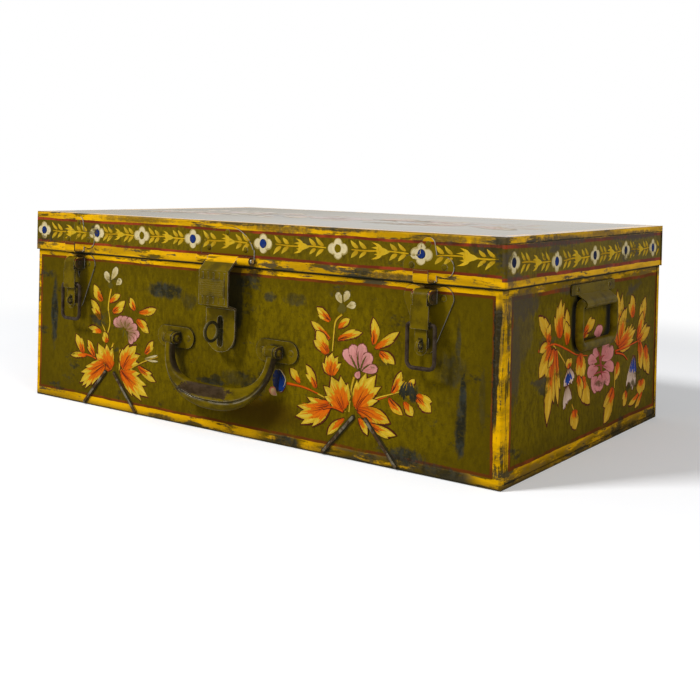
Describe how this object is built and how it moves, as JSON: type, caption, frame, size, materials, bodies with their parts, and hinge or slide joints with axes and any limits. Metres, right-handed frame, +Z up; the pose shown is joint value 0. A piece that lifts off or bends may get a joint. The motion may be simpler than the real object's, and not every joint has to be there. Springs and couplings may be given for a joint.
{
  "type": "metal trunk",
  "caption": "Low rectangular sheet-steel trunk with a hinged lid, draw latches, a hasp and drop handles, painted with folk flowers.",
  "frame": {"origin": "middle of the case's footprint, on the floor", "axes": "+Z up, -Y towards the front with the hasp and latches, +X to the right seen from the front"},
  "size_m": [0.6168, 0.4259, 0.213],
  "materials": {
    "painted_sheet": "worn semi-gloss enamel, olive with yellow borders and flowers",
    "painted_hardware": "worn olive enamel, chipped to brown steel on the edges",
    "worn_steel": "brown, oxidised, satin",
    "bright_pin": "bare, rubbed bright"
  },
  "bodies": {
    "case": {"case_wrap": "painted_sheet", "case_end_left": "painted_sheet", "case_end_right": "painted_sheet", "case_rivets": "worn_steel", "latch_base_left": "painted_hardware", "latch_base_right": "painted_hardware", "latch_pins": "worn_steel", "hasp_staple": "worn_steel", "handle_lug_left": "painted_hardware", "handle_lug_right": "painted_hardware", "handle_pins": "worn_steel", "side_plate_left": "painted_hardware", "side_plate_right": "painted_hardware", "hinge_leaf_case_left": "worn_steel", "hinge_leaf_case_right": "worn_steel", "hinge_pins": "bright_pin"},
    "lid": {"lid_wrap": "painted_sheet", "lid_end_left": "painted_sheet", "lid_end_right": "painted_sheet", "lid_rivets": "worn_steel", "catch_left": "painted_hardware", "catch_right": "painted_hardware", "hasp_plate": "painted_hardware", "hasp_pin": "bright_pin", "hinge_leaf_lid_left": "worn_steel", "hinge_leaf_lid_right": "worn_steel"},
    "hasp": {"hasp_strap": "painted_hardware", "hasp_badge": "painted_hardware"},
    "lever_left": {"latch_lever_left": "painted_hardware"},
    "lever_right": {"latch_lever_right": "painted_hardware"},
    "bail_left": {"latch_bail_left": "worn_steel"},
    "bail_right": {"latch_bail_right": "worn_steel"},
    "handle": {"front_handle": "painted_hardware"},
    "ring_left": {"side_ring_left": "painted_hardware"},
    "ring_right": {"side_ring_right": "painted_hardware"}
  },
  "joints": [
    {"name": "lid_hinge", "type": "hinge", "parent": "case", "child": "lid", "pos_m": [0, 0.1967, 0.169], "axis": [-1, 0, 0], "range_deg": [0, 175]},
    {"name": "hasp_hinge", "type": "hinge", "parent": "lid", "child": "hasp", "pos_m": [-0.005, -0.1981, 0.1755], "axis": [-1, 0, 0], "range_deg": [0, 110]},
    {"name": "lever_left", "type": "hinge", "parent": "case", "child": "lever_left", "pos_m": [-0.226, -0.1995, 0.158], "axis": [-1, 0, 0], "range_deg": [0, 100]},
    {"name": "lever_right", "type": "hinge", "parent": "case", "child": "lever_right", "pos_m": [0.226, -0.1995, 0.158], "axis": [-1, 0, 0], "range_deg": [0, 100]},
    {"name": "bail_left", "type": "hinge", "parent": "lever_left", "child": "bail_left", "pos_m": [-0.226, -0.20279, 0.13421], "axis": [-1, 0, 0], "range_deg": [0, 120]},
    {"name": "bail_right", "type": "hinge", "parent": "lever_right", "child": "bail_right", "pos_m": [0.226, -0.20279, 0.13421], "axis": [-1, 0, 0], "range_deg": [0, 120]},
    {"name": "handle_swing", "type": "hinge", "parent": "case", "child": "handle", "pos_m": [-0.0076, -0.1995, 0.0904], "axis": [-1, 0, 0], "range_deg": [0, 110]},
    {"name": "ring_left", "type": "hinge", "parent": "case", "child": "ring_left", "pos_m": [-0.30397, 0, 0.1445], "axis": [0, 1, 0], "range_deg": [0, 140]},
    {"name": "ring_right", "type": "hinge", "parent": "case", "child": "ring_right", "pos_m": [0.30397, 0, 0.1445], "axis": [0, -1, 0], "range_deg": [0, 140]}
  ]
}
